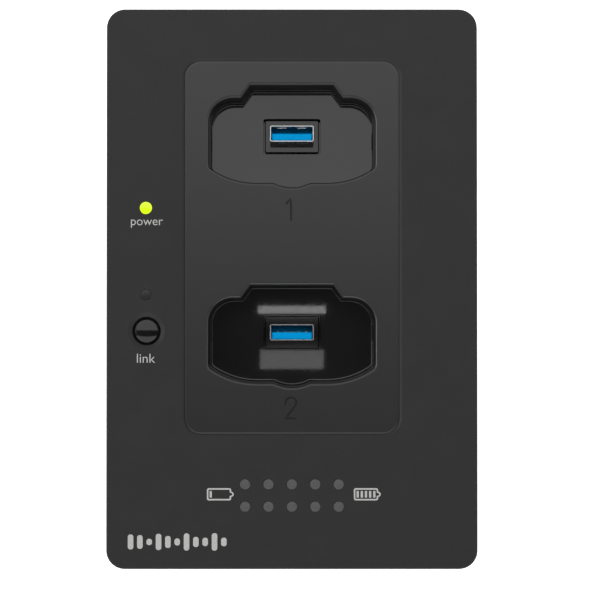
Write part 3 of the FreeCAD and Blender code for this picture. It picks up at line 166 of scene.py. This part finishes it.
def panel_satin():
    """A smoother satin black than the housing's, with a very fine grain."""
    colour = (0.0070, 0.0070, 0.0074)
    s = Surface("panel_satin", colour, 0.34, Specular_IOR_Level=0.54)
    s.tint(s.noise(6.0, 2.0), near(colour, 0.95), near(colour, 1.05))
    grain = s.noise(0.16, 2.0, 0.6)
    s.roughen(grain, 0.31, 0.37)
    s.emboss(grain, 0.004)
    return s


def bay_gloss():
    """Polished black, with the slight waviness of a moulded wall and rub marks from the packs."""
    colour = (0.0145, 0.0145, 0.0153)
    s = Surface("bay_gloss", colour, 0.02)
    rubs = s.noise(1.0, 4.0, 0.7, s.stretched(1.0, 1.0, 0.08))
    s.roughen(rubs, 0.012, 0.045, 0.35, 0.80)
    s.emboss(s.noise(9.0, 1.0), 0.0008)
    return s


def carrier_black():
    colour = (0.0060, 0.0060, 0.0065)
    s = Surface("carrier_black", colour, 0.05)
    grain = s.noise(0.25, 2.0)
    s.tint(grain, near(colour, 0.9), near(colour, 1.1))
    s.roughen(grain, 0.03, 0.07)
    s.emboss(grain, 0.0003)
    return s


def plug_steel():
    """Nickel-plated sheet, drawn lengthwise, with rubbed streaks."""
    colour = (0.60, 0.60, 0.61)
    s = Surface("plug_steel", colour, 0.24, Metallic=1.0)
    streaks = s.noise(0.18, 3.0, 0.6, s.stretched(1.0, 1.0, 0.04))
    s.tint(streaks, near(colour, 0.88), near(colour, 1.06))
    s.roughen(streaks, 0.17, 0.33)
    s.emboss(streaks, 0.0015)
    return s


def tongue_blue():
    colour = (0.0, 0.238, 0.535)
    s = Surface("tongue_blue", colour, 0.35, Specular_IOR_Level=0.03, Subsurface_Weight=0.02)
    cloud = s.noise(0.9, 3.0)
    s.tint(cloud, near(colour, 0.94), near(colour, 1.05))
    s.roughen(cloud, 0.30, 0.40)
    s.emboss(s.noise(0.2, 2.0), 0.002)
    return s


def contact_gold():
    colour = (0.83, 0.60, 0.25)
    s = Surface("contact_gold", colour, 0.22, Metallic=1.0)
    wipe = s.noise(0.12, 3.0, 0.6, s.stretched(1.0, 0.2, 0.05))
    s.tint(wipe, near(colour, 0.85), near(colour, 1.08))
    s.roughen(wipe, 0.16, 0.30)
    return s


def lamp_lit():
    """A light guide with its lamp on, a little paler towards the rim of its dome."""
    low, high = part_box("power_lamp")
    s = Surface("lamp_lit", (0.06, 0.08, 0.0), 0.25)
    middle = s.node("ShaderNodeVectorMath", operation="SUBTRACT")
    s.link(s.place, middle.inputs[0])
    middle.inputs[1].default_value = ((low.x + high.x) / 2, (low.y + high.y) / 2, 0.0)
    flat = s.node("ShaderNodeVectorMath", operation="MULTIPLY")
    s.link(middle.outputs[0], flat.inputs[0])
    flat.inputs[1].default_value = (1.0, 1.0, 0.0)
    away = s.node("ShaderNodeVectorMath", operation="LENGTH")
    s.link(flat.outputs[0], away.inputs[0])
    glow = s.node("ShaderNodeValToRGB")
    glow.color_ramp.elements[0].color = (0.68, 0.93, 0.0, 1.0)
    glow.color_ramp.elements[1].color = (0.80, 0.99, 0.02, 1.0)
    s.link(s.spread(away.outputs["Value"], 0.0, 1.0, GLOW_EVEN_R, GLOW_RIM_R), glow.inputs["Fac"])
    s.link(glow.outputs["Color"], s.shader.inputs["Emission Color"])
    s.set("Emission Strength", 0.96)
    return s


def lamp_smoked():
    colour = (0.014, 0.014, 0.015)
    s = Surface("lamp_smoked", colour, 0.32, Specular_IOR_Level=0.3)
    haze = s.noise(0.8, 2.0)
    s.tint(haze, near(colour, 0.9), near(colour, 1.15))
    s.roughen(haze, 0.28, 0.38)
    return s


def lamp_frosted():
    """Diffusing smoked plastic with the dull lamp behind it."""
    colour = (0.068, 0.068, 0.069)
    s = Surface("lamp_frosted", colour, 0.30)
    haze = s.noise(0.5, 3.0)
    s.tint(haze, near(colour, 0.88), near(colour, 1.12))
    s.roughen(haze, 0.26, 0.36)
    s.emboss(haze, 0.003)
    return s


def button_gloss():
    colour = (0.0045, 0.0045, 0.0050)
    s = Surface("button_gloss", colour, 0.11, Specular_IOR_Level=0.42)
    smear = s.noise(1.6, 3.0, 0.6)
    s.tint(smear, near(colour, 0.92), near(colour, 1.08))
    s.roughen(smear, 0.08, 0.15)
    s.emboss(smear, 0.002)
    return s


def board_green():
    """Solder mask with the faint relief of tracks under it."""
    colour = (0.008, 0.085, 0.035)
    s = Surface("board_green", colour, 0.28)
    tracks = s.node("ShaderNodeTexBrick")
    tracks.inputs["Scale"].default_value = TRACK_REPEATS
    tracks.inputs["Mortar Size"].default_value = TRACK_JOINT
    s.link(s.place, tracks.inputs["Vector"])
    s.tint(tracks.outputs["Fac"], near(colour, 0.8), near(colour, 1.5))
    s.roughen(s.noise(0.4, 2.0), 0.22, 0.34)
    s.emboss(tracks.outputs["Fac"], 0.02)
    return s


def moulded(name, colour, roughness, grain_mm=0.25, depth_mm=0.006):
    """An ordinary moulded plastic or epoxy: fine grain, slightly uneven gloss."""
    s = Surface(name, colour, roughness)
    grain = s.noise(grain_mm, 3.0, 0.6)
    s.tint(grain, near(colour, 0.88), near(colour, 1.12))
    s.roughen(grain, roughness * 0.85, min(1.0, roughness * 1.15))
    s.emboss(grain, depth_mm)
    return s


def sheet_metal(name, colour, roughness, grain_mm=0.2, **sockets):
    """Plated or rolled metal with grain along Y."""
    s = Surface(name, colour, roughness, Metallic=1.0, **sockets)
    grain = s.noise(grain_mm, 3.0, 0.6, s.stretched(1.0, 0.06, 1.0))
    s.tint(grain, near(colour, 0.86), near(colour, 1.08))
    s.roughen(grain, roughness * 0.75, roughness * 1.3)
    s.emboss(grain, 0.0015)
    return s


def foot_rubber():
    colour = (0.012, 0.012, 0.0125)
    s = Surface("foot_rubber", colour, 0.72, Sheen_Weight=0.15)
    dust = s.noise(1.5, 4.0, 0.6)
    s.tint(dust, colour, (0.030, 0.029, 0.028), 0.5, 0.85)
    s.roughen(dust, 0.66, 0.82)
    s.emboss(s.noise(0.2, 2.0), 0.01)
    return s


SURFACES = {
    "housing_black": housing_black,
    "panel_satin": panel_satin,
    "bay_gloss": bay_gloss,
    "carrier_black": carrier_black,
    "plug_steel": plug_steel,
    "tongue_blue": tongue_blue,
    "contact_gold": contact_gold,
    "lamp_lit": lamp_lit,
    "lamp_smoked": lamp_smoked,
    "lamp_frosted": lamp_frosted,
    "button_gloss": button_gloss,
    "board_green": board_green,
    "lamp_chip": lambda: moulded("lamp_chip", (0.62, 0.60, 0.42), 0.35),
    "switch_case": lambda: moulded("switch_case", grey(0.03), 0.45),
    "moulding_black": lambda: moulded("moulding_black", grey(0.014), 0.42),
    "ethernet_lens": lambda: moulded("ethernet_lens", (0.30, 0.34, 0.16), 0.22, 0.5, 0.002),
    "shield_tin": lambda: sheet_metal("shield_tin", (0.62, 0.62, 0.60), 0.30),
    "chip_epoxy": lambda: moulded("chip_epoxy", grey(0.018), 0.55),
    "can_aluminium": lambda: sheet_metal("can_aluminium", (0.70, 0.70, 0.72), 0.32),
    "ribbon_film": lambda: moulded("ribbon_film", (0.66, 0.67, 0.70), 0.30, 1.0, 0.004),
    "socket_ivory": lambda: moulded("socket_ivory", (0.60, 0.55, 0.44), 0.42),
    "screw_black": lambda: sheet_metal("screw_black", grey(0.045), 0.38),
    "screw_steel": lambda: sheet_metal("screw_steel", (0.55, 0.55, 0.56), 0.30),
    "insert_brass": lambda: sheet_metal("insert_brass", (0.74, 0.53, 0.22), 0.30),
    "foot_rubber": foot_rubber,
    "label_grey": lambda: moulded("label_grey", grey(0.36), 0.42, 0.6, 0.003),
}


def dress_nodes():
    """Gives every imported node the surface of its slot."""
    made = {}
    for part in frame["record"]["subparts"]:
        slot = part["material_slot"]
        if slot not in made:
            made[slot] = SURFACES[slot]().material
        for place in frame["nodes"][part["node"]].material_slots:
            place.material = made[slot]


# ---- printed marks ------------------------------------------------------------------------------
PRINT_T = 0.02 * MM

# The words: the built-in letters' drafting size and how far their outlines are drawn in, then each
# word's width, and its middle's place from the middle of the lamp or button above it.
LETTER_SIZE = 3.0 * MM
LETTER_THINNING = 0.014 * MM
POWER_WORD_W = 8.6 * MM
POWER_WORD_SHIFT = (0.3 * MM, -4.3 * MM)
LINK_WORD_W = 4.9 * MM
LINK_WORD_SHIFT = (0.1 * MM, -7.3 * MM)

# The battery symbols: their outside, line and terminal, their corners, the shares of an inset that
# the corners and the terminal give up, and the five bars' places.
BATTERY_W = 7.25 * MM
BATTERY_H = 3.3 * MM
BATTERY_STROKE = 0.42 * MM
BATTERY_NUB = 0.7 * MM
BATTERY_NUB_HALF_H = 0.21 * BATTERY_H
BATTERY_CORNER_R = 0.55 * MM
INSET_OFF_CORNER = 0.8
INSET_OFF_NUB = 0.6
CHARGE_BAR_START = 0.72 * MM
CHARGE_BAR_PITCH = 1.12 * MM
CHARGE_BAR_W = 0.62 * MM
CHARGE_BAR_HALF_H = 0.9 * MM
CHARGE_BAR_R = 0.1 * MM
BATTERY_LOW_X = -19.25 * MM
BATTERY_FULL_X = 20.3 * MM
BATTERY_RISE = 0.35 * MM

# The row of bars in the front left corner: a sine wave sets how tall each one is, from the lowest
# share of the row's height up to all of it.
LEVEL_CENTRE = (-30.85 * MM, -68.15 * MM)
LEVEL_W = 26.6 * MM
LEVEL_H = 4.7 * MM
LEVEL_BARS = 11
LEVEL_BAR_SHARE = 0.6
LEVEL_BAR_ROUNDING = 0.45
LEVEL_LOWEST = 0.35
WAVE_START = 0.6
WAVE_STEP = 2.2


def print_ink():
    """Pad-printed pale grey ink, slightly uneven."""
    colour = (0.37, 0.37, 0.36)
    s = Surface("print_ink", colour, 0.48)
    cover = s.noise(0.3, 3.0, 0.6)
    s.tint(cover, near(colour, 0.80), near(colour, 1.06), 0.25, 0.6)
    s.roughen(cover, 0.40, 0.55)
    return s


def as_print(mesh, name, material):
    """A thin mesh of ink that rides on the housing."""
    mesh.name = name
    mesh.materials.clear()
    mesh.materials.append(material)
    piece = bpy.data.objects.new(name, mesh)
    bpy.context.collection.objects.link(piece)
    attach(piece, BODY)


def settle(mesh, centre, width):
    """Moves a word's mesh to its centre on the face and scales it to a width."""
    spans = [(min(v.co[k] for v in mesh.vertices), max(v.co[k] for v in mesh.vertices)) for k in (0, 1)]
    scale = width / (spans[0][1] - spans[0][0])
    middle = [sum(span) / 2 for span in spans]
    for vertex in mesh.vertices:
        vertex.co.x = centre[0] + (vertex.co.x - middle[0]) * scale
        vertex.co.y = centre[1] + (vertex.co.y - middle[1]) * scale
        vertex.co.z += FACE_Z + PRINT_T / 2


def word(name, letters, centre, width, material):
    """A word in the plain built-in letters."""
    curve = bpy.data.curves.new(name + "_letters", "FONT")
    curve.body = letters
    curve.size = LETTER_SIZE
    curve.resolution_u = 8
    curve.offset = -LETTER_THINNING
    curve.extrude = PRINT_T / 2
    draft = bpy.data.objects.new(name + "_outline", curve)
    mesh = bpy.data.meshes.new_from_object(draft)
    bpy.data.objects.remove(draft)
    settle(mesh, centre, width)
    as_print(mesh, name, material)


class Stamp:
    """Flat ink shapes about one centre, gathered into one mesh."""

    def __init__(self, centre):
        self.centre = centre
        self.points = []
        self.faces = []

    def ring_of_points(self, loop, height):
        """Adds a closed loop at a height and returns its numbers."""
        first = len(self.points)
        self.points += [(self.centre[0] + x, self.centre[1] + y, height) for x, y in loop]
        return list(range(first, first + len(loop)))

    def wall(self, one, other):
        """Joins two loops with the same number of points."""
        for k in range(len(one)):
            j = (k + 1) % len(one)
            self.faces.append((one[k], one[j], other[j], other[k]))

    def fill(self, loop):
        """A filled convex shape."""
        low = self.ring_of_points(loop, FACE_Z)
        high = self.ring_of_points(loop, FACE_Z + PRINT_T)
        self.wall(low, high)
        self.faces.append(tuple(high))

    def stroke(self, outer, inner):
        """The band between two loops."""
        outer_low = self.ring_of_points(outer, FACE_Z)
        outer_high = self.ring_of_points(outer, FACE_Z + PRINT_T)
        inner_low = self.ring_of_points(inner, FACE_Z)
        inner_high = self.ring_of_points(inner, FACE_Z + PRINT_T)
        self.wall(outer_low, outer_high)
        self.wall(outer_high, inner_high)
        self.wall(inner_high, inner_low)

    def print(self, name, material):
        mesh = bpy.data.meshes.new(name)
        mesh.from_pydata(self.points, [], self.faces)
        as_print(mesh, name, material)


def turn(centre, radii, start, end, steps=8):
    """Points on an arc about a centre, from angle start to end in degrees."""
    angles = [math.radians(start + (end - start) * k / steps) for k in range(steps + 1)]
    return [(centre[0] + radii[0] * math.cos(a), centre[1] + radii[1] * math.sin(a)) for a in angles]


def rounded_bar(x0, x1, y0, y1, r):
    """A rectangle with round corners."""
    corners = ((x1 - r, y1 - r, 0), (x0 + r, y1 - r, 90), (x0 + r, y0 + r, 180), (x1 - r, y0 + r, 270))
    points = []
    for x, y, start in corners:
        points += turn((x, y), (r, r), start, start + 90)
    return points


def battery_outline(inset):
    """A battery's outline lying down: round-cornered case and a half-round terminal at its right."""
    left, top = -BATTERY_W / 2 + inset, BATTERY_H / 2 - inset
    right = BATTERY_W / 2 - BATTERY_NUB - inset
    r = BATTERY_CORNER_R - inset * INSET_OFF_CORNER
    nub = (BATTERY_NUB, BATTERY_NUB_HALF_H - inset * INSET_OFF_NUB)
    points = turn((left + r, top - r), (r, r), 180, 90)
    points += turn((right - r, top - r), (r, r), 90, 0)
    points += turn((right, 0.0), nub, 90, -90)
    points += turn((right - r, r - top), (r, r), 0, -90)
    points += turn((left + r, r - top), (r, r), -90, -180)
    return points


def battery_mark(name, bars, centre, material):
    """A battery with some of its five bars filled, from the left."""
    stamp = Stamp(centre)
    stamp.stroke(battery_outline(0.0), battery_outline(BATTERY_STROKE))
    half_h = CHARGE_BAR_HALF_H
    for k in range(bars):
        x = -BATTERY_W / 2 + CHARGE_BAR_START + k * CHARGE_BAR_PITCH
        stamp.fill(rounded_bar(x, x + CHARGE_BAR_W, -half_h, half_h, CHARGE_BAR_R))
    stamp.print(name, material)


def level_mark(name, material):
    """A plain row of upright bars, tall and short in turn, like a sound level trace."""
    pitch = LEVEL_W / (LEVEL_BARS - 1 + LEVEL_BAR_SHARE)
    bar = pitch * LEVEL_BAR_SHARE
    stamp = Stamp(LEVEL_CENTRE)
    for k in range(LEVEL_BARS):
        swell = 0.5 + 0.5 * math.sin(k * WAVE_STEP + WAVE_START)
        half = LEVEL_H / 2 * (LEVEL_LOWEST + (1 - LEVEL_LOWEST) * swell)
        x = -LEVEL_W / 2 + k * pitch
        stamp.fill(rounded_bar(x, x + bar, -half, half, bar * LEVEL_BAR_ROUNDING))
    stamp.print(name, material)


def print_face():
    """Everything printed on the face, placed from the lamps and the button."""
    ink = print_ink().material
    power_low, power_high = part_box("power_lamp")
    button_low, button_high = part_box("link_button")
    lamps_low, lamps_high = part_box("battery_lamps_bay_1")
    lower_low, lower_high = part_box("battery_lamps_bay_2")
    status_x = (power_low.x + power_high.x) / 2
    power_y = (power_low.y + power_high.y) / 2
    button_y = (button_low.y + button_high.y) / 2
    power_place = (status_x + POWER_WORD_SHIFT[0], power_y + POWER_WORD_SHIFT[1])
    link_place = (status_x + LINK_WORD_SHIFT[0], button_y + LINK_WORD_SHIFT[1])
    word("power_word", "power", power_place, POWER_WORD_W, ink)
    word("link_word", "link", link_place, LINK_WORD_W, ink)
    rows_y = (lamps_low.y + lamps_high.y + lower_low.y + lower_high.y) / 4
    battery_y = rows_y + BATTERY_RISE
    battery_mark("battery_low_mark", 1, (BATTERY_LOW_X, battery_y), ink)
    battery_mark("battery_full_mark", 5, (BATTERY_FULL_X, battery_y), ink)
    level_mark("level_mark", ink)


# ---- studio -------------------------------------------------------------------------------------
# The camera's place, the point on the face that it looks at, and its lens in millimetres.
EYE_Z = FACE_Z + 675.0 * MM
EYE_Y = -13.8 * MM
AIM = Vector((0.84 * MM, -1.71 * MM, FACE_Z))
LENS = 152.85
CLIP_START = 0.01
FLOOR_HALF = 6.0
FLOOR_GLOW = 0.78

# Each light card's name, its middle, the place it faces, its width and depth, and its radiance.
# The strips hang at the camera's height, where the lower bay's polished floor mirrors them.
CARDS = (
    ("rear_card", (0.0, 0.645, EYE_Z), (0.0, 0.645, 0.0), (1.6, 1.2), 1.6),
    ("left_card", (-0.95, 0.1, 0.45), (0.0, 0.0, 0.0), (0.9, 0.5), 3.6),
    ("right_card", (0.95, 0.1, 0.45), (0.0, 0.0, 0.0), (0.9, 0.5), 1.2),
    ("front_card", (0.0, -0.95, 0.30), (0.0, 0.0, 0.0), (1.4, 0.4), 2.8),
    ("low_card", (-0.04, -0.47, 0.64), (-0.04, -0.01, FACE_Z), (1.8, 0.34), 1.5),
    ("upper_strip", (0.0, 0.0028, EYE_Z), (0.0, 0.0028, 0.0), (0.0374, 0.0042), 4.6),
    ("lower_strip", (0.0, -0.0245, EYE_Z), (0.0, -0.0245, 0.0), (0.0350, 0.0106), 2.0),
)

# The world's grey from the horizon up to where it is darkest, as a share of the way to straight up.
HORIZON = (0.85, 0.85, 0.86, 1.0)
OVERHEAD = (0.05, 0.05, 0.05, 1.0)
DARKEST_AT = 0.75


def place_camera():
    """Almost straight above the face, a little towards the front, with a long lens."""
    camera = bpy.data.objects.new("camera", bpy.data.cameras.new("camera"))
    bpy.context.collection.objects.link(camera)
    camera.data.lens = LENS
    camera.data.clip_start = CLIP_START
    camera.location = (0.0, EYE_Y, EYE_Z)
    back = (camera.location - AIM).normalized()
    right = Vector((0.0, 1.0, 0.0)).cross(back).normalized()
    camera.rotation_euler = Matrix((right, back.cross(right), back)).transposed().to_euler()
    bpy.context.scene.camera = camera


def card(name, centre, aim, size, radiance):
    """A soft light card that isn't itself seen; radiance is what a mirror shows of it."""
    data = bpy.data.lights.new(name, "AREA")
    data.shape = "RECTANGLE"
    data.size, data.size_y = size
    data.energy = radiance * math.pi * size[0] * size[1]
    light = bpy.data.objects.new(name, data)
    bpy.context.collection.objects.link(light)
    light.location = centre
    towards = Vector(aim) - Vector(centre)
    light.rotation_euler = towards.to_track_quat("-Z", "Y").to_euler()
    light.visible_camera = False


def lay_floor():
    """A wide pale floor that stays light under the part."""
    half = FLOOR_HALF
    corners = [(-half, -half, 0), (half, -half, 0), (half, half, 0), (-half, half, 0)]
    mesh = bpy.data.meshes.new("floor")
    mesh.from_pydata(corners, [], [(0, 1, 2, 3)])
    floor = bpy.data.objects.new("floor", mesh)
    bpy.context.collection.objects.link(floor)
    s = Surface("floor_white", grey(0.86), 0.7, Emission_Strength=FLOOR_GLOW)
    s.set("Emission Color", (1.0, 1.0, 1.0, 1.0))
    mesh.materials.append(s.material)


def light_studio():
    """Soft cards round the part, with the world light at the horizon and dark straight above."""
    scene = bpy.context.scene
    scene.view_settings.view_transform = "Standard"
    for name, centre, aim, size, radiance in CARDS:
        card(name, centre, aim, size, radiance)

    world = bpy.data.worlds.new("studio")
    world.use_nodes = True
    scene.world = world
    tree = world.node_tree
    background = tree.nodes["Background"]
    coords = tree.nodes.new("ShaderNodeTexCoord")
    split = tree.nodes.new("ShaderNodeSeparateXYZ")
    ramp = tree.nodes.new("ShaderNodeValToRGB")
    ramp.color_ramp.elements[0].position = 0.0
    ramp.color_ramp.elements[0].color = HORIZON
    ramp.color_ramp.elements[1].position = DARKEST_AT
    ramp.color_ramp.elements[1].color = OVERHEAD
    tree.links.new(coords.outputs["Generated"], split.inputs[0])
    tree.links.new(split.outputs["Z"], ramp.inputs["Fac"])
    tree.links.new(ramp.outputs["Color"], background.inputs["Color"])
    background.inputs["Strength"].default_value = 1.0


place_camera()
dress_nodes()
print_face()
lay_floor()
light_studio()
